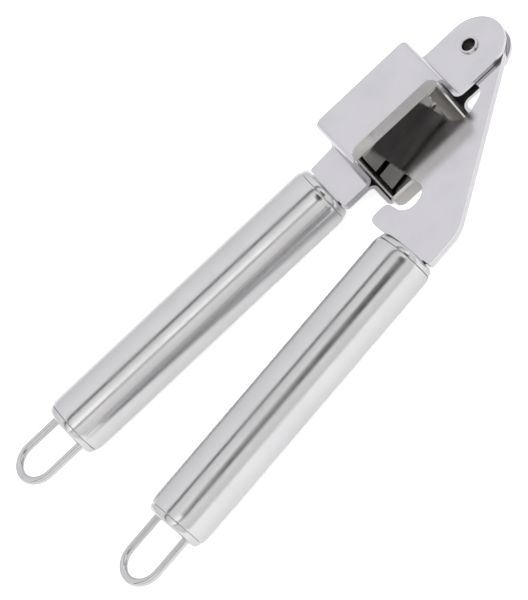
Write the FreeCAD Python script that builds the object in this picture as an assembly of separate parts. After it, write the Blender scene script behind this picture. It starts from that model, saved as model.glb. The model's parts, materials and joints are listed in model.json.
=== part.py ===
"""Garlic press: two riveted sheet-metal arms on tube handles, with a lift-out sieve box.

Millimetres. Each arm is drawn with the pivot axis at the origin and the press closed: +X runs along the
basket arm from handle to pivot, +Y points away from the mouth of the housing (towards the sieve floor),
and Z = 0 is the plane where the two halves of each arm meet. The press arm is then swung open by
REST_OPENING, and the whole press is moved so that its origin is the bottom centre of its bounding box,
with the press lying on its side.
"""
import FreeCAD
import Part
import math
import os

V = FreeCAD.Vector
Z_AXIS = V(0, 0, 1)
PIVOT = V(0, 0, 0)

# ---------------------------------------------------------------- driving dimensions
REST_OPENING = 10.2            # degrees from closed to the pose the press is drawn in
SHEET = 1.2                    # stamped arm sheet
SIEVE_SHEET = 0.6              # sheet of the lift-out sieve box

HANDLE_RADIUS = 9.7
HANDLE_WALL = 0.8
HANDLE_LENGTH = 104.6          # from the collar's face to the end cap's face
SHOULDER_LENGTH = 2.6          # rounded-down stretch at each end of a tube
SHOULDER_DROP = 0.5            # how far the tube's radius falls there
CAP_DEPTH = 2.2                # collar or end cap outside the tube
CAP_FACE_RADIUS = 7.5
CAP_SEAM = 0.12                # gap that shows as the seam line
CAP_SPIGOT = 5.0
CAP_WALL = 1.0
TANG_LENGTH = 14.0
TANG_HALF_WIDTH = 7.0
NECK_GAP = 0.2                 # between a collar's face and the wide part of its plates

LOOP_WIRE_RADIUS = 1.25
LOOP_LEG_SPACING = 13.7
LOOP_REACH = 20.2              # from the end cap's face to the tip of the loop
LOOP_INSERTION = 7.0

BASKET_AXIS_Y = -0.9           # basket handle axis
BASKET_COLLAR_X = -59.4
PRESS_AXIS_OFFSET = 31.9       # distance of the press handle's axis from the pivot
PRESS_COLLAR = 59.7            # along that axis, from the foot of the pivot to the collar's face
PRESS_CONVERGENCE = 1.75       # degrees between the two handles when closed

MOUTH_Y = -11.4                # mouth side of the neck
HOUSING_X = (-49.1, -12.5)     # outside of the housing's end walls
HOUSING_HALF_WIDTH = 13.05
HOUSING_FLOOR_Y = 9.9
HOUSING_BEND = 2.6             # outer radius of the panel's bends
FOOT_BEND = 1.6                # outer radius where a wall meets the neck or the ear
EAR_GAP = 1.4                  # half the gap between the ears
EAR_CENTRE = V(0.6, -1.1, 0)
EAR_RADIUS = 10.4

SIEVE_X = (-47.3, -15.0)
SIEVE_HALF_WIDTH = 11.0        # inside
SIEVE_FLOOR_Y = 9.2            # inner face of the floor
LIP_HALF_WIDTH = 16.6
LIP_BEND = 1.15
LIP_CORNER = 3.0
SIEVE_HOLE_RADIUS = 0.9
SIEVE_HOLE_PITCH = 3.1
SIEVE_HOLE_COLUMNS = 9
SIEVE_HOLE_ROWS = 7

PLATEN_X = (-46.4, -19.7)      # folded presser at its top
PLATEN_HALF_WIDTH = 10.3
PLATEN_TOP_Y = -1.8
PLATEN_FACE_Y = 8.3            # flat face that presses
PLATEN_BEND = 1.5              # outer radius of its folds
PLATEN_TAPER = 1.0             # how much shorter the face is than the top, at the handle end
BLADE_X = (-41.4, -21.7)       # part of the press plates that stands in the presser
SLANT = 29.8                   # degrees, straight edge of the press plate from elbow to pivot
PRESS_EDGE_OFFSET = 11.5       # from the pivot to that edge
PRESS_END_RADIUS = 10.2
PRESS_SHOULDER = -2.6          # along that edge, where it starts to round off towards the pivot end
ELBOW_Y = -40.7
ELBOW_RADIUS = 12.0

RIVET_RADIUS = 2.45
RIVET_BORE_RADIUS = 2.1
RIVET_FLARE_RADIUS = 2.95
RIVET_HEAD_RADIUS = 3.7
RIVET_CROWN_RADIUS = 2.2       # flat top of the far head
RIVET_HEAD_HEIGHT = 0.8
EAR_HOLE_RADIUS = 2.48
PRESS_HOLE_RADIUS = 2.52


# ---------------------------------------------------------------- drawing helpers
def rounded_edges(points, radii, closed):
    """Straight edges through the points, with a tangent arc of the given radius at each corner."""
    count = len(points)
    ends = []
    for i, point in enumerate(points):
        open_end = not closed and i in (0, count - 1)
        if open_end or radii[i] == 0:
            ends.append((point, point, None))
            continue
        before = (points[i - 1] - point).normalize()
        after = (points[(i + 1) % count] - point).normalize()
        half = before.getAngle(after) / 2
        reach = radii[i] / math.tan(half)
        bisector = (before + after).normalize()
        middle = point + bisector * (radii[i] / math.sin(half) - radii[i])
        ends.append((point + before * reach, point + after * reach, middle))
    edges = []
    for i in range(count):
        start, stop, middle = ends[i]
        if middle is not None:
            edges.append(Part.Arc(start, middle, stop).toShape())
        if closed or i < count - 1:
            following = ends[(i + 1) % count][0]
            if (following - stop).Length > 1e-6:
                edges.append(Part.LineSegment(stop, following).toShape())
    return edges


def outline_prism(corners, low, high):
    """Prism along Z over a closed outline of (x, y, corner radius)."""
    points = [V(x, y, low) for x, y, _ in corners]
    radii = [radius for _, _, radius in corners]
    wire = Part.Wire(rounded_edges(points, radii, True))
    return Part.Face(wire).extrude(V(0, 0, high - low))


def strip(points, radii, into):
    """Face across a bent sheet: a path along one surface, and the vector from its first edge to the other."""
    thickness = into.Length
    runs = [(b - a).normalize() for a, b in zip(points, points[1:])]
    normal = runs[0].cross(into).normalize()
    sides = [normal.cross(run) for run in runs]
    other = [points[0] + sides[0] * thickness]
    other_radii = [0]
    for i in range(1, len(points) - 1):
        bisector = (sides[i - 1] + sides[i]).normalize()
        other.append(points[i] + bisector * (thickness / bisector.dot(sides[i])))
        inward = runs[i - 1].cross(runs[i]).dot(normal) > 0
        other_radii.append(radii[i] - thickness if inward else radii[i] + thickness)
    other.append(points[-1] + sides[-1] * thickness)
    other_radii.append(0)
    edges = rounded_edges(points, radii, False) + rounded_edges(other, other_radii, False)
    edges.append(Part.LineSegment(points[0], other[0]).toShape())
    edges.append(Part.LineSegment(points[-1], other[-1]).toShape())
    return Part.Face(Part.Wire(Part.__sortEdges__(edges)))


def mirrored(shape):
    """The same piece on the far side of the mid-plane."""
    return shape.mirror(PIVOT, Z_AXIS)


def revolved_about_x(profile):
    """Solid of revolution from a closed loop of edges drawn with X along the axis and Y as the radius."""
    return Part.Face(Part.Wire(profile)).revolve(PIVOT, V(1, 0, 0), 360)


def line(ax, ay, bx, by):
    return Part.LineSegment(V(ax, ay, 0), V(bx, by, 0)).toShape()


def arc(ax, ay, mx, my, bx, by):
    return Part.Arc(V(ax, ay, 0), V(mx, my, 0), V(bx, by, 0)).toShape()


# ---------------------------------------------------------------- handles
# Each handle is drawn on the X axis with its collar's face at X = 0 and the tube running towards -X.
def handle_tube():
    start = -CAP_DEPTH
    end = -HANDLE_LENGTH + CAP_DEPTH
    outer_end = HANDLE_RADIUS - SHOULDER_DROP
    inner = HANDLE_RADIUS - HANDLE_WALL
    inner_end = inner - SHOULDER_DROP
    bow = 0.75 * SHOULDER_LENGTH
    sag = 0.29 * SHOULDER_DROP
    near = start - SHOULDER_LENGTH
    far = end + SHOULDER_LENGTH
    profile = [
        arc(start, outer_end, start - SHOULDER_LENGTH + bow, HANDLE_RADIUS - sag, near, HANDLE_RADIUS),
        line(near, HANDLE_RADIUS, far, HANDLE_RADIUS),
        arc(far, HANDLE_RADIUS, end + SHOULDER_LENGTH - bow, HANDLE_RADIUS - sag, end, outer_end),
        line(end, outer_end, end, inner_end),
        line(end, inner_end, far, inner),
        line(far, inner, near, inner),
        line(near, inner, start, inner_end),
        line(start, inner_end, start, outer_end),
    ]
    return revolved_about_x(profile)


def handle_cap():
    """Cup with a rounded rim: its face is at X = 0 and its spigot points to -X, inside the tube."""
    rim_x = -CAP_DEPTH + CAP_SEAM
    rim = HANDLE_RADIUS - SHOULDER_DROP - 0.05
    spigot = HANDLE_RADIUS - HANDLE_WALL - SHOULDER_DROP - 0.05
    bore = spigot - CAP_WALL
    corner = math.sqrt(0.5)
    middle_x = rim_x * (1 - corner)
    middle_r = CAP_FACE_RADIUS + (rim - CAP_FACE_RADIUS) * corner
    profile = [
        line(0, 0, 0, CAP_FACE_RADIUS),
        arc(0, CAP_FACE_RADIUS, middle_x, middle_r, rim_x, rim),
        line(rim_x, rim, rim_x, spigot),
        line(rim_x, spigot, rim_x - CAP_SPIGOT, spigot),
        line(rim_x - CAP_SPIGOT, spigot, rim_x - CAP_SPIGOT, bore),
        line(rim_x - CAP_SPIGOT, bore, -CAP_WALL, bore),
        line(-CAP_WALL, bore, -CAP_WALL, 0),
        line(-CAP_WALL, 0, 0, 0),
    ]
    return revolved_about_x(profile)


def handle_collar():
    clearance = 0.15
    slot = Part.makeBox(
        2 * CAP_DEPTH, 2 * (TANG_HALF_WIDTH + clearance), 2 * (SHEET + clearance),
        V(-1.5 * CAP_DEPTH, -TANG_HALF_WIDTH - clearance, -SHEET - clearance))
    return handle_cap().cut(slot)


def end_cap():
    cap = handle_cap().mirror(PIVOT, V(1, 0, 0))
    cap.translate(V(-HANDLE_LENGTH, 0, 0))
    for side in (-1, 1):
        hole = Part.makeCylinder(
            LOOP_WIRE_RADIUS + 0.05, 2 * CAP_DEPTH + CAP_SPIGOT + 1,
            V(-HANDLE_LENGTH - CAP_DEPTH, side * LOOP_LEG_SPACING / 2, 0), V(1, 0, 0))
        cap = cap.cut(hole)
    return cap


def hanging_loop():
    """Wire bent to a U: two legs that enter the end cap, joined by a half ring."""
    bend = LOOP_LEG_SPACING / 2
    bend_x = -HANDLE_LENGTH - LOOP_REACH + LOOP_WIRE_RADIUS + bend
    leg = -HANDLE_LENGTH + LOOP_INSERTION - bend_x
    ring = Part.makeTorus(bend, LOOP_WIRE_RADIUS, V(0, 0, 0), Z_AXIS, -180, 180, 180)
    ring.rotate(PIVOT, Z_AXIS, 90)
    ring.translate(V(bend_x, 0, 0))
    pieces = [ring]
    for side in (-1, 1):
        pieces.append(Part.makeCylinder(LOOP_WIRE_RADIUS, leg, V(bend_x, side * bend, 0), V(1, 0, 0)))
    return pieces[0].fuse(pieces[1:])


def handle_parts(prefix, turn, corner):
    parts = {
        prefix + "_handle_collar": handle_collar(),
        prefix + "_handle_tube": handle_tube(),
        prefix + "_handle_end_cap": end_cap(),
        prefix + "_hanging_loop": hanging_loop(),
    }
    for shape in parts.values():
        shape.rotate(PIVOT, Z_AXIS, turn)
        shape.translate(corner)
    return parts


# ---------------------------------------------------------------- basket arm
def basket_side_plate():
    """Near half of the basket arm: neck, hat-shaped housing side and ear, bent from one strip."""
    left, right = HOUSING_X
    ear_top = EAR_GAP + SHEET
    tang_end = BASKET_COLLAR_X - TANG_LENGTH
    tip = EAR_CENTRE.x + EAR_RADIUS
    profile = strip(
        [V(tang_end - 1, 0, SHEET), V(left, 0, SHEET), V(left, 0, HOUSING_HALF_WIDTH),
         V(right, 0, HOUSING_HALF_WIDTH), V(right, 0, ear_top), V(tip + 1, 0, ear_top)],
        [0, FOOT_BEND, HOUSING_BEND, HOUSING_BEND, FOOT_BEND, 0], V(0, 0, -SHEET))
    reach = 30
    profile.translate(V(0, -reach / 2, 0))
    bent = profile.extrude(V(0, reach, 0))

    tang_low = BASKET_AXIS_Y - TANG_HALF_WIDTH
    tang_high = BASKET_AXIS_Y + TANG_HALF_WIDTH
    neck_x = BASKET_COLLAR_X + NECK_GAP
    lip_seat = MOUTH_Y + SIEVE_SHEET + 0.1
    ear_low = EAR_CENTRE.y - EAR_RADIUS
    ear_high = EAR_CENTRE.y + EAR_RADIUS
    blank = outline_prism([
        (tang_end, tang_low, 1.5),
        (neck_x, tang_low, 0.4),
        (neck_x, MOUTH_Y, 1.0),
        (SIEVE_X[0] - 0.3, MOUTH_Y, 0),
        (SIEVE_X[0] - 0.3, lip_seat, 0),
        (SIEVE_X[1] + 0.3, lip_seat, 0),
        (SIEVE_X[1] + 0.3, MOUTH_Y, 0),
        (right + 2.0, MOUTH_Y, 0),
        (right + 3.0, ear_low, 0),
        (tip, ear_low, EAR_RADIUS - 0.001),
        (tip, ear_high, EAR_RADIUS - 0.001),
        (right - 0.1, ear_high, 0.6),
        (right + 0.1, HOUSING_FLOOR_Y, 0),
        (left - 0.1, HOUSING_FLOOR_Y, 0),
        (left + 0.1, HOUSING_FLOOR_Y - 0.6, 0.8),
        (neck_x, HOUSING_FLOOR_Y - 1.2, 1.0),
        (neck_x, tang_high, 0.4),
        (tang_end, tang_high, 1.5),
    ], -1, HOUSING_HALF_WIDTH + 1)
    plate = bent.common(blank)
    return plate.cut(Part.makeCylinder(EAR_HOLE_RADIUS, 2 * ear_top, V(0, 0, -ear_top)))


def sieve_insert():
    """Box folded from thin sheet: a channel with outward lips, closed by end walls, with a drilled floor."""
    left, right = SIEVE_X
    length = right - left
    channel = strip(
        [V(left, MOUTH_Y, LIP_HALF_WIDTH), V(left, MOUTH_Y, SIEVE_HALF_WIDTH),
         V(left, SIEVE_FLOOR_Y, SIEVE_HALF_WIDTH), V(left, SIEVE_FLOOR_Y, -SIEVE_HALF_WIDTH),
         V(left, MOUTH_Y, -SIEVE_HALF_WIDTH), V(left, MOUTH_Y, -LIP_HALF_WIDTH)],
        [0, LIP_BEND, SIEVE_SHEET, SIEVE_SHEET, LIP_BEND, 0], V(0, SIEVE_SHEET, 0))
    body = channel.extrude(V(length, 0, 0))
    corners = [
        V(left, 0, -LIP_HALF_WIDTH), V(right, 0, -LIP_HALF_WIDTH),
        V(right, 0, LIP_HALF_WIDTH), V(left, 0, LIP_HALF_WIDTH)]
    rim = Part.Face(Part.Wire(rounded_edges(corners, [LIP_CORNER] * 4, True)))
    rim.translate(V(0, MOUTH_Y - 1, 0))
    body = body.common(rim.extrude(V(0, SIEVE_FLOOR_Y - MOUTH_Y + 3, 0)))

    half = SIEVE_HALF_WIDTH + SIEVE_SHEET / 2
    top = MOUTH_Y + 0.3
    height = SIEVE_FLOOR_Y + SIEVE_SHEET / 2 - top
    seam = 0.12
    for x in (left, right - SIEVE_SHEET):
        for side in (-1, 1):
            low = seam / 2 if side > 0 else -half
            body = body.fuse(Part.makeBox(SIEVE_SHEET, height, half - seam / 2, V(x, top, low)))

    middle_x = (left + right) / 2
    holes = []
    for column in range(SIEVE_HOLE_COLUMNS):
        for row in range(SIEVE_HOLE_ROWS):
            x = middle_x + (column - (SIEVE_HOLE_COLUMNS - 1) / 2) * SIEVE_HOLE_PITCH
            z = (row - (SIEVE_HOLE_ROWS - 1) / 2) * SIEVE_HOLE_PITCH
            base = V(x, SIEVE_FLOOR_Y - SIEVE_SHEET, z)
            holes.append(Part.makeCylinder(SIEVE_HOLE_RADIUS, 3 * SIEVE_SHEET, base, V(0, 1, 0)))
    return body.removeSplitter().cut(Part.makeCompound(holes))


def pivot_rivet():
    """Semi-tubular rivet: hollow and flared on the near side, domed on the far side."""
    ear_top = EAR_GAP + SHEET
    flare_top = ear_top + RIVET_HEAD_HEIGHT
    mouth = (RIVET_FLARE_RADIUS + RIVET_BORE_RADIUS) / 2
    head = -ear_top - RIVET_HEAD_HEIGHT
    profile = [
        line(-1.0, 0, -1.0, RIVET_BORE_RADIUS),
        line(-1.0, RIVET_BORE_RADIUS, flare_top - 0.4, RIVET_BORE_RADIUS),
        arc(flare_top - 0.4, RIVET_BORE_RADIUS, flare_top, mouth, flare_top - 0.4, RIVET_FLARE_RADIUS),
        line(flare_top - 0.4, RIVET_FLARE_RADIUS, ear_top, RIVET_FLARE_RADIUS),
        line(ear_top, RIVET_FLARE_RADIUS, ear_top, RIVET_RADIUS),
        line(ear_top, RIVET_RADIUS, -ear_top, RIVET_RADIUS),
        line(-ear_top, RIVET_RADIUS, -ear_top, RIVET_HEAD_RADIUS),
        arc(-ear_top, RIVET_HEAD_RADIUS, head + 0.25, RIVET_HEAD_RADIUS - 0.45, head, RIVET_CROWN_RADIUS),
        line(head, RIVET_CROWN_RADIUS, head, 0),
        line(head, 0, -1.0, 0),
    ]
    rivet = revolved_about_x(profile)
    rivet.rotate(PIVOT, V(0, 1, 0), -90)
    return rivet


# ---------------------------------------------------------------- press arm
def press_axis_point(along, across):
    """Point given along the press handle's axis from the foot of the pivot, and across it to the mouth."""
    tilt = math.radians(PRESS_CONVERGENCE)
    down = V(-math.cos(tilt), math.sin(tilt), 0)
    side = V(math.sin(tilt), math.cos(tilt), 0)
    return side * (across - PRESS_AXIS_OFFSET) + down * along


def press_side_plate():
    """Near half of the press arm: one flat sheet with a blade that reaches down into the presser."""
    slant = math.radians(SLANT)
    edge = V(math.sin(slant), -math.cos(slant), 0) * PRESS_EDGE_OFFSET
    shoulder = edge + V(math.cos(slant), math.sin(slant), 0) * PRESS_SHOULDER
    elbow_x = edge.x + (ELBOW_Y - edge.y) / math.tan(slant)

    def at(along, across, radius):
        point = press_axis_point(along, across)
        return (point.x, point.y, radius)

    neck = PRESS_COLLAR - NECK_GAP
    tang = PRESS_COLLAR + TANG_LENGTH
    blade_end = PLATEN_FACE_Y - SHEET
    arm = outline_prism([
        at(tang, TANG_HALF_WIDTH, 1.5),
        at(neck, TANG_HALF_WIDTH, 0.4),
        at(neck, 9.6, 0.5),
        (-59.5, MOUTH_Y - 0.1, 2.2),
        (-52.5, MOUTH_Y - 1.2, 2.4),
        (-52.1, -21.6, 4.5),
        (-42.4, -21.3, 4.5),
        (BLADE_X[0], blade_end, 0.5),
        (BLADE_X[1], blade_end, 0.5),
        (BLADE_X[1] - 0.1, -16.6, 5.0),
        (-9.0, -13.9, 3.6),
        (-8.6, -10.2, 0),
        (-10.0, -3.2, 0),
        (9.0, -4.8, 0),
        (shoulder.x, shoulder.y, 4.5),
        (elbow_x, ELBOW_Y, ELBOW_RADIUS),
        (-60.4, -40.25, 1.0),
        at(neck, -9.4, 0),
        at(neck, -TANG_HALF_WIDTH, 0.4),
        at(tang, -TANG_HALF_WIDTH, 1.5),
    ], 0, SHEET)
    plate = arm.fuse(Part.makeCylinder(PRESS_END_RADIUS, SHEET)).removeSplitter()
    return plate.cut(Part.makeCylinder(PRESS_HOLE_RADIUS, 3 * SHEET, V(0, 0, -SHEET)))


def pressing_plate():
    """Presser folded from one sheet: a flat face, two side walls, and two tops that leave a slot for the blade."""
    left, right = PLATEN_X
    slot = SHEET + 0.02
    wrap = strip(
        [V(left, PLATEN_TOP_Y, slot), V(left, PLATEN_TOP_Y, PLATEN_HALF_WIDTH),
         V(left, PLATEN_FACE_Y, PLATEN_HALF_WIDTH), V(left, PLATEN_FACE_Y, -PLATEN_HALF_WIDTH),
         V(left, PLATEN_TOP_Y, -PLATEN_HALF_WIDTH), V(left, PLATEN_TOP_Y, -slot)],
        [0, PLATEN_BEND, PLATEN_BEND, PLATEN_BEND, PLATEN_BEND, 0], V(0, SHEET, 0))
    folded = wrap.extrude(V(right - left, 0, 0))
    ends = outline_prism([
        (left, PLATEN_TOP_Y, 0),
        (right, PLATEN_TOP_Y, 0),
        (right, PLATEN_FACE_Y, 0),
        (left + PLATEN_TAPER, PLATEN_FACE_Y, 0),
    ], -PLATEN_HALF_WIDTH, PLATEN_HALF_WIDTH)
    corners = [
        V(left, PLATEN_TOP_Y, -PLATEN_HALF_WIDTH), V(right, PLATEN_TOP_Y, -PLATEN_HALF_WIDTH),
        V(right, PLATEN_TOP_Y, PLATEN_HALF_WIDTH), V(left, PLATEN_TOP_Y, PLATEN_HALF_WIDTH)]
    plan = Part.Face(Part.Wire(rounded_edges(corners, [PLATEN_BEND] * 4, True)))
    rounded = plan.extrude(V(0, PLATEN_FACE_Y - PLATEN_TOP_Y, 0))
    return folded.common(ends).common(rounded)


# ---------------------------------------------------------------- assembly
near_basket = basket_side_plate()
basket_arm = {
    "basket_side_plate_near": near_basket,
    "basket_side_plate_far": mirrored(near_basket),
    "sieve_insert": sieve_insert(),
    "pivot_rivet": pivot_rivet(),
}
basket_arm.update(handle_parts("basket", 0, V(BASKET_COLLAR_X, BASKET_AXIS_Y, 0)))

near_press = press_side_plate()
press_arm = {
    "press_side_plate_near": near_press,
    "press_side_plate_far": mirrored(near_press),
    "pressing_plate": pressing_plate(),
}
press_arm.update(handle_parts("press", -PRESS_CONVERGENCE, press_axis_point(PRESS_COLLAR, 0)))
for shape in press_arm.values():
    shape.rotate(PIVOT, Z_AXIS, REST_OPENING)

parts = {**basket_arm, **press_arm}
box = Part.makeCompound(list(parts.values())).optimalBoundingBox()
to_origin = V(-round(box.Center.x, 2), -round(box.Center.y, 2), -box.ZMin)

os.makedirs("parts", exist_ok=True)
for name, shape in parts.items():
    shape.translate(to_origin)
    shape.exportStep(f"parts/{name}.step")
    print(f"{name:26s} solids {len(shape.Solids)} valid {shape.isValid()} volume {shape.Volume / 1000:.3f} cm3")
print("pivot axis at", to_origin.x, to_origin.y, to_origin.z, "size", box.XLength, box.YLength, box.ZLength)
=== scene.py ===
"""Garlic press, dressed for rendering: two riveted stainless arms on polished tube handles."""
import json
import math

import bmesh
import bpy
from mathutils import Matrix, Vector


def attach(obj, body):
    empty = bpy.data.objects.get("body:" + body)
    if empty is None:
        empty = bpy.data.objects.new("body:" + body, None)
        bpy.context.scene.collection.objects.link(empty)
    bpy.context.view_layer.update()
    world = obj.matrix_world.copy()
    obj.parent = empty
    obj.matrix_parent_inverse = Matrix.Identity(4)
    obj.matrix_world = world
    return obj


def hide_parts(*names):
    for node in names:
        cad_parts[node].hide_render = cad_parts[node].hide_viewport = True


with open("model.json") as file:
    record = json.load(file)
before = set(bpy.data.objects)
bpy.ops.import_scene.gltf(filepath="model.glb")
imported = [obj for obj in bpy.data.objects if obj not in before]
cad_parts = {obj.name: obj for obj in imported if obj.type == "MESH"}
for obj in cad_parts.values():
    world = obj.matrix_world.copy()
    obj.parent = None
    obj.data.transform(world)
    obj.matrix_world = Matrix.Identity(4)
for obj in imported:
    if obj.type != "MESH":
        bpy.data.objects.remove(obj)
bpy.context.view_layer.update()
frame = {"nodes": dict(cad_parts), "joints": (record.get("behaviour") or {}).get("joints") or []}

# ---------------------------------------------------------------- driving sizes, metres and degrees
MM = 0.001
PIVOT = Vector(frame["joints"][0]["pos_m"])
REST_OPENING = 10.2            # press arm, from closed to rest
PRESS_CONVERGENCE = 1.75       # between the two handles when closed

HANDLE_RADIUS = 9.7 * MM
HANDLE_WALL = 0.8 * MM
HANDLE_LENGTH = 104.6 * MM
SHOULDER_LENGTH = 2.6 * MM
SHOULDER_DROP = 0.5 * MM
CAP_DEPTH = 2.2 * MM
CAP_FACE_RADIUS = 7.5 * MM
CAP_SEAM = 0.12 * MM
CAP_SPIGOT = 5.0 * MM
CAP_WALL = 1.0 * MM
WIRE_RADIUS = 1.25 * MM
LOOP_LEG_SPACING = 13.7 * MM
LOOP_REACH = 20.2 * MM
LOOP_INSERTION = 7.0 * MM
LEG_DRILL_CENTRE = 3 * MM
LEG_DRILL_LENGTH = 12 * MM
LEG_CLEARANCE = 0.05 * MM
TANG_SLOT_X = (-3.3 * MM, 1.1 * MM)
TANG_SLOT_HALF_WIDTH = 7.15 * MM
TANG_SLOT_HALF_GAP = 1.35 * MM
BASKET_COLLAR = Vector((-59.4, -0.9, 0)) * MM
PRESS_AXIS_OFFSET = 31.9 * MM
PRESS_COLLAR = 59.7 * MM

RIVET_BORE = 2.1 * MM
# painted shade inside the rivet's bore: where it fades in, and its colour
BORE_SHADE_FADE = (-0.05 * MM, 0.25 * MM)
BORE_SHADE_COLOUR = (0.30, 0.29, 0.28)

SIEVE_X = (-47.3 * MM, -15.0 * MM)
SIEVE_SHEET = 0.6 * MM
SIEVE_HALF_WIDTH = 11.0 * MM   # inside
SIEVE_FLOOR_Y = 9.2 * MM       # inner face of the floor
SIEVE_CORNER = 0.6 * MM
MOUTH_Y = -11.4 * MM
LIP_HALF_WIDTH = 16.6 * MM
LIP_BEND = 1.15 * MM
LIP_CORNER = 3.0 * MM
FLAP_TOP_Y = -11.1 * MM
FLAP_SEAM = 0.12 * MM
FLAP_RECESS = 0.01 * MM
SIEVE_EDGE = 0.12 * MM
HOLE_RADIUS = 0.9 * MM
HOLE_PITCH = 3.1 * MM
HOLE_COLUMNS = 9
HOLE_ROWS = 7

SIDE_SEGMENTS = 128            # round pieces, around their axis


# ---------------------------------------------------------------- mesh helpers
def new_piece(name, mesh, material, body, node):
    """A finished piece: it stands for its CAD node and rides on that node's body."""
    piece = bpy.data.objects.new(name, mesh)
    bpy.context.scene.collection.objects.link(piece)
    mesh.materials.clear()
    mesh.materials.append(material)
    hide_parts(node)
    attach(piece, body)
    return piece


def finished_mesh(piece_object):
    """The object's mesh with its modifiers applied, as plain geometry."""
    bpy.context.view_layer.update()
    evaluated = piece_object.evaluated_get(bpy.context.evaluated_depsgraph_get())
    mesh = bpy.data.meshes.new_from_object(evaluated)
    bpy.data.objects.remove(piece_object)
    return mesh


def lathe(profile, segments=SIDE_SEGMENTS):
    """Closed solid of revolution about X from a closed loop of (x, radius) points."""
    mesh = bpy.data.meshes.new("lathe")
    bm = bmesh.new()
    rings = []
    for x, radius in profile:
        if radius == 0:
            rings.append([bm.verts.new((x, 0, 0))])
            continue
        ring = []
        for i in range(segments):
            angle = 2 * math.pi * i / segments
            ring.append(bm.verts.new((x, radius * math.cos(angle), radius * math.sin(angle))))
        rings.append(ring)
    for a, b in zip(rings, rings[1:] + rings[:1]):
        if len(a) == 1 and len(b) == 1:
            continue
        for i in range(segments):
            j = (i + 1) % segments
            corners = [a[i % len(a)], a[j % len(a)], b[j % len(b)], b[i % len(b)]]
            bm.faces.new(list(dict.fromkeys(corners)))
    bmesh.ops.recalc_face_normals(bm, faces=bm.faces)
    bm.to_mesh(mesh)
    bm.free()
    return mesh


def curve_points(start, stop, bulge, steps):
    """Points of a quarter ellipse from start to stop; bulge names the axis that moves first."""
    points = []
    for i in range(steps + 1):
        t = math.pi / 2 * i / steps
        first, second = math.sin(t), 1 - math.cos(t)
        along, across = (first, second) if bulge == 0 else (second, first)
        points.append((start[0] + (stop[0] - start[0]) * along,
                       start[1] + (stop[1] - start[1]) * across))
    return points


def shade(mesh, angle):
    """Smooth shading with edges sharper than the angle kept crisp."""
    mesh.shade_smooth()
    bm = bmesh.new()
    bm.from_mesh(mesh)
    for edge in bm.edges:
        edge.smooth = edge.is_manifold and edge.calc_face_angle() < math.radians(angle)
    bm.to_mesh(mesh)
    bm.free()
    return mesh


def sheet_copy(node, edge_radius, segments=3):
    """Copy of a stamped CAD node with its loose triangles joined and its cut edges rounded over."""
    source = frame["nodes"][node]
    holder = bpy.data.objects.new(node + "_copy", source.data.copy())
    bpy.context.scene.collection.objects.link(holder)
    bm = bmesh.new()
    bm.from_mesh(holder.data)
    bmesh.ops.remove_doubles(bm, verts=bm.verts, dist=0.002 * MM)
    bmesh.ops.dissolve_limit(
        bm, angle_limit=math.radians(0.4), use_dissolve_boundaries=False, verts=bm.verts, edges=bm.edges)
    bm.to_mesh(holder.data)
    bm.free()
    bevel = holder.modifiers.new("edge", "BEVEL")
    bevel.width = edge_radius
    bevel.segments = segments
    bevel.limit_method = "ANGLE"
    bevel.angle_limit = math.radians(40)
    bevel.miter_outer = "MITER_ARC"
    holder.data.shade_smooth()
    weighting = holder.modifiers.new("flat_faces", "WEIGHTED_NORMAL")
    weighting.mode = "FACE_AREA"
    weighting.weight = 60
    return finished_mesh(holder)


# ---------------------------------------------------------------- places of the two handles
def handle_matrix(arm):
    """Carries a handle drawn on the X axis, collar face at the origin, to its arm's rest place."""
    if arm == "basket":
        return Matrix.Translation(PIVOT + BASKET_COLLAR)
    tilt = math.radians(PRESS_CONVERGENCE)
    side = Vector((math.sin(tilt), math.cos(tilt), 0))
    down = Vector((-math.cos(tilt), math.sin(tilt), 0))
    corner = side * -PRESS_AXIS_OFFSET + down * PRESS_COLLAR
    closed = Matrix.Translation(corner) @ Matrix.Rotation(-tilt, 4, "Z")
    swing = Matrix.Rotation(math.radians(REST_OPENING), 4, "Z")
    return Matrix.Translation(PIVOT) @ swing @ closed


# ---------------------------------------------------------------- shader groups
def node_group(name, inputs, outputs):
    """An empty shader group with the given (name, socket type, default) inputs and (name, type) outputs."""
    group = bpy.data.node_groups.new(name, "ShaderNodeTree")
    for label, kind, default in inputs:
        socket = group.interface.new_socket(label, in_out="INPUT", socket_type=kind)
        socket.default_value = default
    for label, kind in outputs:
        group.interface.new_socket(label, in_out="OUTPUT", socket_type=kind)
    entry = group.nodes.new("NodeGroupInput")
    leave = group.nodes.new("NodeGroupOutput")
    return group, entry, leave


def math_node(tree, operation, first, second=None, third=None, clamp=False):
    """Output of a Math node; each operand is a number or a socket."""
    node = tree.nodes.new("ShaderNodeMath")
    node.operation = operation
    node.use_clamp = clamp
    for slot_index, value in enumerate((first, second, third)):
        if value is None:
            continue
        if isinstance(value, (int, float)):
            node.inputs[slot_index].default_value = value
        else:
            tree.links.new(value, node.inputs[slot_index])
    return node.outputs[0]


def noise_node(tree, vector, scale, detail, roughness=0.5):
    """Value of a noise texture over the given coordinates."""
    node = tree.nodes.new("ShaderNodeTexNoise")
    tree.links.new(vector, node.inputs["Vector"])
    for label, value in (("Scale", scale), ("Detail", detail), ("Roughness", roughness)):
        if isinstance(value, (int, float)):
            node.inputs[label].default_value = value
        else:
            tree.links.new(value, node.inputs[label])
    return node.outputs["Fac"]


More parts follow.
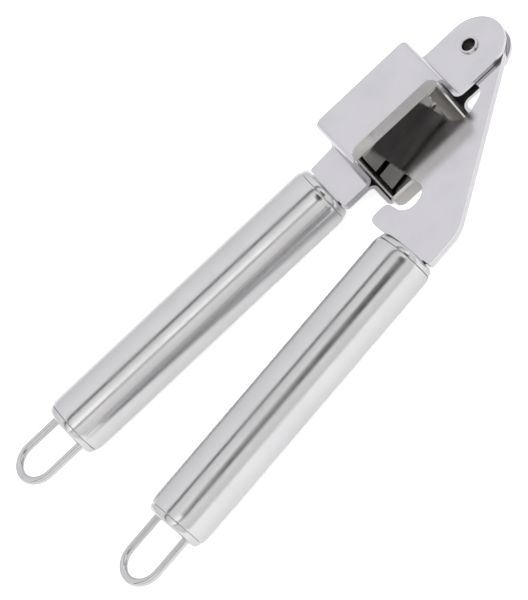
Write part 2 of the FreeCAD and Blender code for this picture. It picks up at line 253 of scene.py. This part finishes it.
def build_grain_group():
    """Fine directional polishing lines: a height for bump and a mask for roughness."""
    group, entry, leave = node_group(
        "polishing_grain",
        [("Vector", "NodeSocketVector", (0, 0, 0)), ("Stretch", "NodeSocketVector", (1, 1, 1)),
         ("Scale", "NodeSocketFloat", 4000.0)],
        [("Height", "NodeSocketFloat"), ("Streaks", "NodeSocketFloat")])
    stretch = group.nodes.new("ShaderNodeVectorMath")
    stretch.operation = "MULTIPLY"
    group.links.new(entry.outputs["Vector"], stretch.inputs[0])
    group.links.new(entry.outputs["Stretch"], stretch.inputs[1])
    fine = noise_node(group, stretch.outputs[0], entry.outputs["Scale"], 3.0, 0.6)
    coarse_scale = math_node(group, "MULTIPLY", entry.outputs["Scale"], 0.12)
    coarse = noise_node(group, stretch.outputs[0], coarse_scale, 2.0, 0.5)
    group.links.new(fine, leave.inputs["Height"])
    group.links.new(math_node(group, "MULTIPLY_ADD", coarse, 0.6, math_node(group, "MULTIPLY", fine, 0.4)),
                    leave.inputs["Streaks"])
    return group


def build_wear_group():
    """Soft handling marks: broad smudges and small scuffs, each from 0 to 1."""
    group, entry, leave = node_group(
        "handling_marks",
        [("Vector", "NodeSocketVector", (0, 0, 0)), ("Smudge Scale", "NodeSocketFloat", 60.0),
         ("Scuff Scale", "NodeSocketFloat", 900.0)],
        [("Smudges", "NodeSocketFloat"), ("Scuffs", "NodeSocketFloat")])
    smudge = noise_node(group, entry.outputs["Vector"], entry.outputs["Smudge Scale"], 4.0, 0.55)
    scuff = noise_node(group, entry.outputs["Vector"], entry.outputs["Scuff Scale"], 5.0, 0.7)
    for value, low, high, label in ((smudge, 0.38, 0.66, "Smudges"), (scuff, 0.56, 0.72, "Scuffs")):
        ramp = group.nodes.new("ShaderNodeMapRange")
        ramp.interpolation_type = "SMOOTHSTEP"
        group.links.new(value, ramp.inputs["Value"])
        ramp.inputs["From Min"].default_value = low
        ramp.inputs["From Max"].default_value = high
        group.links.new(ramp.outputs["Result"], leave.inputs[label])
    return group


def steel(name, colour, shade_colour, roughness, spread, stretch, grain_bump, grain_scale=4000.0,
          smudge_scale=60.0):
    """Stainless steel: grain along one direction, smudges that shift its colour and roughness."""
    material = bpy.data.materials.new(name)
    material.use_nodes = True
    tree = material.node_tree
    surface = tree.nodes["Principled BSDF"]
    surface.inputs["Metallic"].default_value = 1.0
    place = tree.nodes.new("ShaderNodeTexCoord").outputs["Object"]

    grain = tree.nodes.new("ShaderNodeGroup")
    grain.node_tree = GRAIN
    tree.links.new(place, grain.inputs["Vector"])
    grain.inputs["Stretch"].default_value = stretch
    grain.inputs["Scale"].default_value = grain_scale
    wear = tree.nodes.new("ShaderNodeGroup")
    wear.node_tree = WEAR
    tree.links.new(place, wear.inputs["Vector"])
    wear.inputs["Smudge Scale"].default_value = smudge_scale

    mix = tree.nodes.new("ShaderNodeMix")
    mix.data_type = "RGBA"
    tint = math_node(tree, "MULTIPLY_ADD", grain.outputs["Streaks"], 0.5,
                     math_node(tree, "MULTIPLY", wear.outputs["Smudges"], 0.5), clamp=True)
    tree.links.new(tint, mix.inputs["Factor"])
    mix.inputs["A"].default_value = (*colour, 1)
    mix.inputs["B"].default_value = (*shade_colour, 1)
    tree.links.new(mix.outputs["Result"], surface.inputs["Base Color"])

    rough = math_node(tree, "MULTIPLY_ADD", grain.outputs["Streaks"], spread, roughness - spread / 2)
    rough = math_node(tree, "MULTIPLY_ADD", wear.outputs["Smudges"], spread * 0.7, rough)
    rough = math_node(tree, "MULTIPLY_ADD", wear.outputs["Scuffs"], spread * 0.6, rough, clamp=True)
    tree.links.new(rough, surface.inputs["Roughness"])

    bump = tree.nodes.new("ShaderNodeBump")
    bump.inputs["Strength"].default_value = grain_bump
    bump.inputs["Distance"].default_value = 0.02 * MM
    tree.links.new(grain.outputs["Height"], bump.inputs["Height"])
    tree.links.new(bump.outputs["Normal"], surface.inputs["Normal"])
    return material


def paint_bore_shade(material):
    """Painted shade in the hollow rivet's bore: darkens the base colour inside it."""
    tree = material.node_tree
    surface = tree.nodes["Principled BSDF"]
    unshaded_colour = surface.inputs["Base Color"].links[0].from_socket
    spot = tree.nodes.new("ShaderNodeVectorMath")
    spot.operation = "SUBTRACT"
    tree.links.new(tree.nodes.new("ShaderNodeTexCoord").outputs["Object"], spot.inputs[0])
    spot.inputs[1].default_value = PIVOT
    flat = tree.nodes.new("ShaderNodeVectorMath")
    flat.operation = "MULTIPLY"
    tree.links.new(spot.outputs[0], flat.inputs[0])
    flat.inputs[1].default_value = (1, 1, 0)
    reach = tree.nodes.new("ShaderNodeVectorMath")
    reach.operation = "LENGTH"
    tree.links.new(flat.outputs[0], reach.inputs[0])
    edge = tree.nodes.new("ShaderNodeMapRange")
    edge.interpolation_type = "SMOOTHSTEP"
    tree.links.new(reach.outputs["Value"], edge.inputs["Value"])
    edge.inputs["From Min"].default_value = RIVET_BORE + BORE_SHADE_FADE[0]
    edge.inputs["From Max"].default_value = RIVET_BORE + BORE_SHADE_FADE[1]
    mix = tree.nodes.new("ShaderNodeMix")
    mix.data_type = "RGBA"
    tree.links.new(edge.outputs["Result"], mix.inputs["Factor"])
    mix.inputs["A"].default_value = (*BORE_SHADE_COLOUR, 1)
    tree.links.new(unshaded_colour, mix.inputs["B"])
    tree.links.new(mix.outputs["Result"], surface.inputs["Base Color"])


GRAIN = build_grain_group()
WEAR = build_wear_group()
SATIN = steel(
    "satin_sheet", (0.69, 0.68, 0.70), (0.63, 0.62, 0.64), 0.21, 0.05, (1.0, 1.0, 1.0), 0.06, 5200.0)
BRIGHT_SHEET = steel(
    "bright_rolled_sheet", (0.68, 0.665, 0.65), (0.63, 0.615, 0.60), 0.18, 0.06, (0.2, 1, 1), 0.05)
PRESS_SHEET = steel(
    "smooth_satin_sheet", (0.69, 0.68, 0.70), (0.63, 0.62, 0.64), 0.13, 0.05, (1.0, 1.0, 1.0), 0.05, 5200.0)
# pressing plate: the same steel painted far darker, as painted shade for its place deep in the hopper
PLATE_PAINTED_SHADE = steel("pressing_plate_painted_shade", (0.29, 0.28, 0.27), (0.23, 0.22, 0.21), 0.20, 0.08, (1, 1, 0.2), 0.08)
TUBE = steel("polished_tube", (0.665, 0.66, 0.665), (0.62, 0.615, 0.62), 0.17, 0.07, (0.05, 1, 1), 0.16)
CAP = steel("polished_cap", (0.66, 0.655, 0.66), (0.61, 0.605, 0.61), 0.17, 0.06, (1, 1, 1), 0.12)
WIRE = steel("drawn_wire", (0.64, 0.635, 0.64), (0.54, 0.535, 0.54), 0.12, 0.06, (0.1, 1, 1), 0.10)
RIVET = steel("rivet_steel", (0.68, 0.675, 0.68), (0.58, 0.575, 0.58), 0.16, 0.08, (1, 1, 1), 0.1)
# painted shade inside the rivet's bore
paint_bore_shade(RIVET)


# ---------------------------------------------------------------- handles
def tube_mesh():
    """Handle tube with a drawn-in shoulder at each end."""
    start = -CAP_DEPTH
    end = -HANDLE_LENGTH + CAP_DEPTH
    lip = 0.10 * MM
    outer_end = HANDLE_RADIUS - SHOULDER_DROP
    inner = HANDLE_RADIUS - HANDLE_WALL
    shoulder = curve_points(
        (start - SHOULDER_LENGTH, HANDLE_RADIUS), (start - lip, outer_end + lip * 0.5), 0, 10)
    far = [(start + end - x, r) for x, r in reversed(shoulder)]
    bore = inner - SHOULDER_DROP
    runs = 12
    body = []
    for i in range(1, runs):
        x = shoulder[0][0] + (far[-1][0] - shoulder[0][0]) * i / runs
        body.append((x, HANDLE_RADIUS))
    profile = [(start, outer_end - lip)] + list(reversed(shoulder)) + body
    profile += list(reversed(far)) + [(end, outer_end - lip), (end, bore)]
    profile += [(end + SHOULDER_LENGTH, inner), (start - SHOULDER_LENGTH, inner), (start, bore)]
    return lathe(profile)


def cap_profile():
    """Half section of a domed cap with a spigot that sits in the tube."""
    rim_x = -CAP_DEPTH + CAP_SEAM
    rim = HANDLE_RADIUS - SHOULDER_DROP - 0.05 * MM
    spigot = HANDLE_RADIUS - HANDLE_WALL - SHOULDER_DROP - 0.05 * MM
    bore = spigot - CAP_WALL
    dome = curve_points((0, CAP_FACE_RADIUS), (rim_x, rim), 1, 10)
    inside = [(rim_x, spigot), (rim_x - CAP_SPIGOT, spigot), (rim_x - CAP_SPIGOT, bore), (-CAP_WALL, bore)]
    return [(0, 0)] + dome + inside + [(-CAP_WALL, 0)]


def cut_with(mesh, cutters):
    """The mesh with every cutter's shape taken out of it."""
    holder = bpy.data.objects.new("cut_blank", mesh)
    bpy.context.scene.collection.objects.link(holder)
    tools = []
    for i, cutter in enumerate(cutters):
        tool = bpy.data.objects.new(f"cutter_{i}", cutter)
        bpy.context.scene.collection.objects.link(tool)
        tools.append(tool)
        boolean = holder.modifiers.new(f"cut_{i}", "BOOLEAN")
        boolean.operation = "DIFFERENCE"
        boolean.solver = "EXACT"
        boolean.object = tool
    result = finished_mesh(holder)
    for tool in tools:
        bpy.data.objects.remove(tool)
    return result


def box_mesh(low, high):
    """Closed box between two corners."""
    mesh = bpy.data.meshes.new("box")
    bm = bmesh.new()
    size = Vector(high) - Vector(low)
    place = Matrix.Translation((Vector(low) + Vector(high)) / 2) @ Matrix.Diagonal((*size, 1))
    bmesh.ops.create_cube(bm, size=1, matrix=place)
    bm.to_mesh(mesh)
    bm.free()
    return mesh


def rod_mesh(centre, radius, length, segments=48):
    """Closed rod along X."""
    mesh = bpy.data.meshes.new("rod")
    bm = bmesh.new()
    turn = Matrix.Translation(centre) @ Matrix.Rotation(math.pi / 2, 4, "Y")
    bmesh.ops.create_cone(
        bm, cap_ends=True, segments=segments, radius1=radius, radius2=radius, depth=length, matrix=turn)
    bm.to_mesh(mesh)
    bm.free()
    return mesh


def collar_mesh():
    """Cap with a slot for the two tangs."""
    slot = box_mesh((TANG_SLOT_X[0], -TANG_SLOT_HALF_WIDTH, -TANG_SLOT_HALF_GAP),
                    (TANG_SLOT_X[1], TANG_SLOT_HALF_WIDTH, TANG_SLOT_HALF_GAP))
    return cut_with(lathe(cap_profile()), [slot])


def end_cap_mesh():
    """Cap with two holes for the legs of the loop."""
    profile = [(-HANDLE_LENGTH - x, r) for x, r in cap_profile()]
    holes = []
    for side in (-1, 1):
        centre = (-HANDLE_LENGTH + LEG_DRILL_CENTRE, side * LOOP_LEG_SPACING / 2, 0)
        holes.append(rod_mesh(centre, WIRE_RADIUS + LEG_CLEARANCE, LEG_DRILL_LENGTH))
    return cut_with(lathe(profile), holes)


def loop_mesh():
    """Bent wire: two legs joined by a half ring, with rounded ends."""
    bend = LOOP_LEG_SPACING / 2
    bend_x = -HANDLE_LENGTH - LOOP_REACH + WIRE_RADIUS + bend
    leg_end = -HANDLE_LENGTH + LOOP_INSERTION
    path = []
    leg_steps = 8
    for i in range(leg_steps):
        path.append(Vector((leg_end + (bend_x - leg_end) * i / leg_steps, -bend, 0)))
    turn_steps = 40
    for i in range(turn_steps + 1):
        angle = -math.pi / 2 - math.pi * i / turn_steps
        path.append(Vector((bend_x + bend * math.cos(angle), bend * math.sin(angle), 0)))
    for i in range(1, leg_steps + 1):
        path.append(Vector((bend_x + (leg_end - bend_x) * i / leg_steps, bend, 0)))
    mesh = bpy.data.meshes.new("wire")
    bm = bmesh.new()
    sides = 32
    rings = []
    for i, point in enumerate(path):
        ahead = (path[min(i + 1, len(path) - 1)] - path[max(i - 1, 0)]).normalized()
        across = Vector((0, 0, 1)).cross(ahead)
        ring = []
        for k in range(sides):
            angle = 2 * math.pi * k / sides
            offset = across * math.cos(angle) + Vector((0, 0, 1)) * math.sin(angle)
            ring.append(bm.verts.new(point + offset * WIRE_RADIUS))
        rings.append(ring)
    for a, b in zip(rings, rings[1:]):
        for k in range(sides):
            n = (k + 1) % sides
            bm.faces.new((a[k], a[n], b[n], b[k]))
    bm.faces.new(rings[0])
    bm.faces.new(rings[-1])
    bmesh.ops.recalc_face_normals(bm, faces=bm.faces)
    bm.to_mesh(mesh)
    bm.free()
    return mesh


def make_handles():
    """Tube, collar, end cap and wire loop of each arm, drawn once on the X axis and carried into place."""
    makers = (
        ("handle_tube", tube_mesh, TUBE, "polished_tube"),
        ("handle_collar", collar_mesh, CAP, "polished_cap"),
        ("handle_end_cap", end_cap_mesh, CAP, "polished_cap"),
        ("hanging_loop", loop_mesh, WIRE, "wire"),
    )
    for arm in ("basket", "press"):
        place = handle_matrix(arm)
        for label, maker, material, slot in makers:
            mesh = maker()
            mesh.transform(place)
            shade(mesh, 35)
            new_piece(f"{arm}_{label}_skin", mesh, material, f"{arm}_arm", f"{arm}_{label}")


# ---------------------------------------------------------------- stamped pieces
def make_sheets():
    """Stamped side plates and the folded presser."""
    rows = (
        ("basket_side_plate_near", "basket_arm", SATIN, "satin_sheet", 0.30),
        ("basket_side_plate_far", "basket_arm", SATIN, "satin_sheet", 0.30),
        ("press_side_plate_near", "press_arm", PRESS_SHEET, "satin_sheet", 0.25),
        ("press_side_plate_far", "press_arm", PRESS_SHEET, "satin_sheet", 0.25),
        # the pressing plate's darker colour is painted shade
        ("pressing_plate", "press_arm", PLATE_PAINTED_SHADE, "pressing_plate", 0.25),
    )
    for node, body, material, slot, edge in rows:
        mesh = sheet_copy(node, edge * MM)
        new_piece(node + "_skin", mesh, material, body, node)


def folded_section():
    """Section of the sieve box as (z, y) points along the sheet's inner face and along its outer face."""
    corners = [
        (LIP_HALF_WIDTH, MOUTH_Y, 0), (SIEVE_HALF_WIDTH, MOUTH_Y, LIP_BEND),
        (SIEVE_HALF_WIDTH, SIEVE_FLOOR_Y, SIEVE_CORNER), (-SIEVE_HALF_WIDTH, SIEVE_FLOOR_Y, SIEVE_CORNER),
        (-SIEVE_HALF_WIDTH, MOUTH_Y, LIP_BEND), (-LIP_HALF_WIDTH, MOUTH_Y, 0)]
    points = [Vector((z, y)) for z, y, _ in corners]
    inner, outer = [], []

    def lay(point, along):
        inner.append(point)
        outer.append(point + Vector((along.y, -along.x)) * SIEVE_SHEET)

    straight = [(b - a).normalized() for a, b in zip(points, points[1:])]
    round_steps = 12
    for i in range(round_steps + 1):
        step = LIP_CORNER * (1 - math.cos(math.pi / 2 * i / round_steps))
        lay(points[0] + straight[0] * step, straight[0])
    bend_steps = 10
    for i in range(1, len(points) - 1):
        before, after = straight[i - 1], straight[i]
        radius = corners[i][2]
        centre = points[i] - before * radius + after * radius
        for k in range(bend_steps + 1):
            turn = math.pi / 2 * k / bend_steps
            along = before * math.cos(turn) + after * math.sin(turn)
            lay(centre + (before * math.sin(turn) - after * math.cos(turn)) * radius, along)
    for i in range(round_steps, -1, -1):
        step = LIP_CORNER * (1 - math.cos(math.pi / 2 * i / round_steps))
        lay(points[-1] - straight[-1] * step, straight[-1])
    return inner, outer


def channel_mesh():
    """Folded channel with outward lips whose corners are rounded in plan."""
    inner, outer = folded_section()
    mesh = bpy.data.meshes.new("sieve_channel")
    bm = bmesh.new()
    rows = []
    for side in (0, 1):
        row = []
        for point in inner + outer[::-1]:
            past = max(0.0, abs(point.x) - (LIP_HALF_WIDTH - LIP_CORNER))
            cut = LIP_CORNER - math.sqrt(max(0.0, LIP_CORNER ** 2 - past ** 2))
            x = SIEVE_X[0] + cut if side == 0 else SIEVE_X[1] - cut
            row.append(bm.verts.new((x, point.y, point.x)))
        rows.append(row)
    count = len(rows[0])
    for i in range(count):
        j = (i + 1) % count
        bm.faces.new((rows[0][i], rows[0][j], rows[1][j], rows[1][i]))
    for row in rows:
        for i in range(count // 2 - 1):
            bm.faces.new((row[i], row[i + 1], row[count - 2 - i], row[count - 1 - i]))
    bmesh.ops.recalc_face_normals(bm, faces=bm.faces)
    bm.to_mesh(mesh)
    bm.free()
    return mesh


def build_perforation_tree(material):
    """Punches a grid of round holes down through the incoming sheet."""
    tree = bpy.data.node_groups.new("sieve_perforation", "GeometryNodeTree")
    tree.interface.new_socket("Geometry", in_out="INPUT", socket_type="NodeSocketGeometry")
    for label, kind, value in (
            ("Columns", "NodeSocketInt", HOLE_COLUMNS), ("Rows", "NodeSocketInt", HOLE_ROWS),
            ("Pitch", "NodeSocketFloat", HOLE_PITCH), ("Hole Radius", "NodeSocketFloat", HOLE_RADIUS),
            ("Punch Depth", "NodeSocketFloat", 3 * SIEVE_SHEET), ("Centre", "NodeSocketVector", (0, 0, 0))):
        tree.interface.new_socket(label, in_out="INPUT", socket_type=kind).default_value = value
    tree.interface.new_socket("Geometry", in_out="OUTPUT", socket_type="NodeSocketGeometry")
    entry = tree.nodes.new("NodeGroupInput")
    leave = tree.nodes.new("NodeGroupOutput")

    grid = tree.nodes.new("GeometryNodeMeshGrid")
    for size, number in (("Size X", "Columns"), ("Size Y", "Rows")):
        gaps = math_node(tree, "SUBTRACT", entry.outputs[number], 1.0)
        tree.links.new(math_node(tree, "MULTIPLY", gaps, entry.outputs["Pitch"]), grid.inputs[size])
    tree.links.new(entry.outputs["Columns"], grid.inputs["Vertices X"])
    tree.links.new(entry.outputs["Rows"], grid.inputs["Vertices Y"])

    punch = tree.nodes.new("GeometryNodeMeshCylinder")
    punch.inputs["Vertices"].default_value = 20
    tree.links.new(entry.outputs["Hole Radius"], punch.inputs["Radius"])
    tree.links.new(entry.outputs["Punch Depth"], punch.inputs["Depth"])
    scatter = tree.nodes.new("GeometryNodeInstanceOnPoints")
    tree.links.new(grid.outputs["Mesh"], scatter.inputs["Points"])
    tree.links.new(punch.outputs["Mesh"], scatter.inputs["Instance"])
    place = tree.nodes.new("GeometryNodeTransform")
    place.inputs["Rotation"].default_value = (math.pi / 2, 0, 0)
    tree.links.new(entry.outputs["Centre"], place.inputs["Translation"])
    tree.links.new(scatter.outputs["Instances"], place.inputs["Geometry"])
    punches = tree.nodes.new("GeometryNodeRealizeInstances")
    tree.links.new(place.outputs["Geometry"], punches.inputs["Geometry"])

    pierce = tree.nodes.new("GeometryNodeMeshBoolean")
    pierce.operation = "DIFFERENCE"
    tree.links.new(entry.outputs["Geometry"], pierce.inputs["Mesh 1"])
    tree.links.new(punches.outputs["Geometry"], pierce.inputs["Mesh 2"])
    solid = tree.nodes.new("GeometryNodeRealizeInstances")
    tree.links.new(pierce.outputs["Mesh"], solid.inputs["Geometry"])
    paint = tree.nodes.new("GeometryNodeSetMaterial")
    paint.inputs["Material"].default_value = material
    tree.links.new(solid.outputs["Geometry"], paint.inputs["Geometry"])
    tree.links.new(paint.outputs["Geometry"], leave.inputs["Geometry"])
    return tree


def make_sieve():
    """Lift-out sieve box: perforated folded channel, and two welded flaps at each end."""
    holder = bpy.data.objects.new("sieve_blank", channel_mesh())
    bpy.context.scene.collection.objects.link(holder)
    holder.data.shade_smooth()
    edge = holder.modifiers.new("edge", "BEVEL")
    edge.width = SIEVE_EDGE
    edge.segments = 2
    edge.limit_method = "ANGLE"
    edge.angle_limit = math.radians(50)
    punching = holder.modifiers.new("perforation", "NODES")
    tree = build_perforation_tree(BRIGHT_SHEET)
    punching.node_group = tree
    sockets = {item.name: item.identifier for item in tree.interface.items_tree if item.in_out == "INPUT"}
    middle = (SIEVE_X[0] + SIEVE_X[1]) / 2
    punching[sockets["Centre"]] = (middle, SIEVE_FLOOR_Y + SIEVE_SHEET / 2, 0.0)
    weighting = holder.modifiers.new("flat_faces", "WEIGHTED_NORMAL")
    weighting.mode = "FACE_AREA"
    channel = finished_mesh(holder)

    flap_width = SIEVE_HALF_WIDTH + SIEVE_SHEET / 2
    flap_bottom = SIEVE_FLOOR_Y + SIEVE_SHEET / 2
    bm = bmesh.new()
    bm.from_mesh(channel)
    for x in (SIEVE_X[0], SIEVE_X[1] - SIEVE_SHEET):
        for low, high in ((-flap_width, -FLAP_SEAM / 2), (FLAP_SEAM / 2, flap_width)):
            flap = box_mesh((x + FLAP_RECESS, FLAP_TOP_Y, low),
                            (x + SIEVE_SHEET - FLAP_RECESS, flap_bottom, high))
            bm.from_mesh(flap)
            bpy.data.meshes.remove(flap)
    mesh = bpy.data.meshes.new("sieve_box")
    bm.to_mesh(mesh)
    bm.free()
    mesh.transform(Matrix.Translation(PIVOT))
    new_piece("sieve_insert_skin", mesh, BRIGHT_SHEET, "basket_arm", "sieve_insert")


def make_rivet():
    """Pivot rivet, kept as drawn."""
    source = frame["nodes"]["pivot_rivet"]
    mesh = source.data.copy()
    bm = bmesh.new()
    bm.from_mesh(mesh)
    bmesh.ops.remove_doubles(bm, verts=bm.verts, dist=0.002 * MM)
    bm.to_mesh(mesh)
    bm.free()
    shade(mesh, 35)
    new_piece("pivot_rivet_skin", mesh, RIVET, "basket_arm", "pivot_rivet")


# ---------------------------------------------------------------- stage, light and camera
CAMERA_DISTANCE = 1.1
CAMERA_AZIMUTH = 3.2
CAMERA_ELEVATION = 47.64
CAMERA_ROLL = 45.52
CAMERA_TARGET = PIVOT + Vector((-94.86, -15.64, 0)) * MM
SENSOR_WIDTH = 36
LENS = 225.642
FLOOR_PITCH = 3.44             # the press rests on its lip and the ends of its handles
FLOOR_CONTACT_X = 42.0 * MM
FLOOR_HALF_SIZE = 3.0
FLOOR_SHADE = 0.88
FLOOR_LIFT = 0.55              # keeps the bare floor white where it is seen directly
BAR_NEAR_Y = -32 * MM
BAR_FAR_Y = 13 * MM
BAR_HALF_LENGTH = 1.5
BAR_HEIGHT = 286 * MM
BAR_SHADE = 0.12
KEY_SIZE = (0.9, 0.35)
KEY_POWER = 6.0
KEY_TILT = 32
KEY_DISTANCE = 1.0


def make_camera():
    """Camera with a long lens, turned about its own axis so that the press lies across the frame."""
    azimuth = math.radians(CAMERA_AZIMUTH)
    elevation = math.radians(CAMERA_ELEVATION)
    roll = math.radians(CAMERA_ROLL)
    back = Vector((math.sin(azimuth) * math.cos(elevation), -math.cos(azimuth) * math.cos(elevation),
                   math.sin(elevation)))
    right = Vector((math.cos(azimuth), math.sin(azimuth), 0))
    up = back.cross(right)
    rolled_right = right * math.cos(roll) - up * math.sin(roll)
    rolled_up = right * math.sin(roll) + up * math.cos(roll)
    data = bpy.data.cameras.new("camera")
    data.sensor_width = SENSOR_WIDTH
    data.lens = LENS
    data.clip_start = 0.05
    data.clip_end = 20
    camera = bpy.data.objects.new("camera", data)
    bpy.context.scene.collection.objects.link(camera)
    axes = Matrix((rolled_right, rolled_up, back)).transposed()
    camera.matrix_world = Matrix.Translation(CAMERA_TARGET + back * CAMERA_DISTANCE) @ axes.to_4x4()
    bpy.context.scene.camera = camera


def make_floor():
    """Plain pale floor, pitched so that the press rests on its lip and handle ends."""
    mesh = bpy.data.meshes.new("floor")
    half = FLOOR_HALF_SIZE
    corners = [(-half, -half, 0), (half, -half, 0), (half, half, 0), (-half, half, 0)]
    mesh.from_pydata(corners, [], [(0, 1, 2, 3)])
    floor = bpy.data.objects.new("floor", mesh)
    bpy.context.scene.collection.objects.link(floor)
    floor.matrix_world = (Matrix.Translation((FLOOR_CONTACT_X, 0, 0))
                          @ Matrix.Rotation(math.radians(FLOOR_PITCH), 4, "Y"))
    material = bpy.data.materials.new("pale_floor")
    material.use_nodes = True
    tree = material.node_tree
    surface = tree.nodes["Principled BSDF"]
    surface.inputs["Base Color"].default_value = (FLOOR_SHADE, FLOOR_SHADE, FLOOR_SHADE, 1)
    surface.inputs["Roughness"].default_value = 0.9
    surface.inputs["Specular IOR Level"].default_value = 0.1
    surface.inputs["Emission Color"].default_value = (FLOOR_LIFT, FLOOR_LIFT, FLOOR_LIFT, 1)
    seen = tree.nodes.new("ShaderNodeLightPath").outputs["Is Camera Ray"]
    tree.links.new(seen, surface.inputs["Emission Strength"])
    mesh.materials.append(material)


SKY_BANDS = (                  # angle from the zenith towards the mouth side, brightness, tint
    (-90, 0.80, (1, 0.995, 1.01)), (-50, 0.93, (0.99, 0.985, 1.02)), (-10, 1.03, (0.99, 0.99, 1.01)),
    (14, 0.88, (1, 1, 1)), (22, 0.98, (1, 1, 1)), (31, 1.15, (1, 1, 1)), (36, 1.45, (1, 1, 1)),
    (42.5, 1.6, (1, 1, 1)), (45, 0.30, (1, 1, 1)), (49, 0.30, (1, 1, 1)), (52, 1.08, (1, 1, 0.99)),
    (66, 0.95, (1, 0.99, 0.98)), (88, 0.80, (1, 0.99, 0.98)), (90, 0.80, (1, 1, 1)),
)
DARK_SIDE = (0.30, -0.62, 0.725)   # direction of a dark spot in the surroundings
DARK_SIDE_REACH = (0.20, 0.27)     # distance from it over which the dark fades out
DARK_SIDE_LEVEL = 0.06


def make_sky():
    """Studio surroundings as bands about the X axis, with a bright strip and one dark spot."""
    world = bpy.data.worlds.new("studio")
    bpy.context.scene.world = world
    world.use_nodes = True
    tree = world.node_tree
    background = tree.nodes["Background"]
    direction = tree.nodes.new("ShaderNodeTexCoord").outputs["Generated"]
    split = tree.nodes.new("ShaderNodeSeparateXYZ")
    tree.links.new(direction, split.inputs[0])
    towards_mouth = math_node(tree, "MULTIPLY", split.outputs["Y"], -1.0)
    angle = math_node(tree, "ARCTAN2", towards_mouth, split.outputs["Z"])
    place = math_node(tree, "MULTIPLY_ADD", angle, 1 / math.pi, 0.5)
    ramp = tree.nodes.new("ShaderNodeValToRGB")
    tree.links.new(place, ramp.inputs["Fac"])
    elements = ramp.color_ramp.elements
    while len(elements) < len(SKY_BANDS):
        elements.new(0.5)
    for element, (degrees, brightness, tint) in zip(elements, SKY_BANDS):
        element.position = degrees / 180 + 0.5
        element.color = (*(brightness * c for c in tint), 1)
    tree.links.new(ramp.outputs["Color"], background.inputs["Color"])

    aim = tree.nodes.new("ShaderNodeVectorMath")
    aim.operation = "DISTANCE"
    tree.links.new(direction, aim.inputs[0])
    aim.inputs[1].default_value = DARK_SIDE
    fade = tree.nodes.new("ShaderNodeMapRange")
    fade.interpolation_type = "SMOOTHSTEP"
    tree.links.new(aim.outputs["Value"], fade.inputs["Value"])
    fade.inputs["From Min"].default_value = DARK_SIDE_REACH[0]
    fade.inputs["From Max"].default_value = DARK_SIDE_REACH[1]
    fade.inputs["To Min"].default_value = DARK_SIDE_LEVEL
    tree.links.new(fade.outputs["Result"], background.inputs["Strength"])


def make_overhead_bar():
    """A dark bar over the piece: it shows only as a thin line along the polished tubes."""
    mesh = bpy.data.meshes.new("overhead_bar")
    corners = [(-BAR_HALF_LENGTH, BAR_NEAR_Y, BAR_HEIGHT), (BAR_HALF_LENGTH, BAR_NEAR_Y, BAR_HEIGHT),
               (BAR_HALF_LENGTH, BAR_FAR_Y, BAR_HEIGHT), (-BAR_HALF_LENGTH, BAR_FAR_Y, BAR_HEIGHT)]
    mesh.from_pydata(corners, [], [(0, 1, 2, 3)])
    bar = bpy.data.objects.new("overhead_bar", mesh)
    bpy.context.scene.collection.objects.link(bar)
    material = bpy.data.materials.new("dark_cloth")
    material.use_nodes = True
    surface = material.node_tree.nodes["Principled BSDF"]
    surface.inputs["Base Color"].default_value = (BAR_SHADE, BAR_SHADE, BAR_SHADE, 1)
    surface.inputs["Roughness"].default_value = 0.9
    mesh.materials.append(material)
    bar.visible_camera = False
    bar.visible_diffuse = False
    bar.visible_shadow = False


def make_key_light():
    """Soft lamp on the mouth side that gives the faint shadow; polished metal does not show it."""
    data = bpy.data.lights.new("key", "AREA")
    data.shape = "RECTANGLE"
    data.size, data.size_y = KEY_SIZE
    data.energy = KEY_POWER
    key = bpy.data.objects.new("key", data)
    bpy.context.scene.collection.objects.link(key)
    tilt = math.radians(KEY_TILT)
    away = Vector((0, -math.sin(tilt), math.cos(tilt)))
    aim = away.to_track_quat("Z", "Y").to_matrix().to_4x4()
    key.matrix_world = Matrix.Translation(away * KEY_DISTANCE) @ aim
    key.visible_glossy = False


make_camera()
make_handles()
make_sheets()
make_sieve()
make_rivet()
make_floor()
make_sky()
make_overhead_bar()
make_key_light()
bpy.context.scene.view_settings.view_transform = "Standard"
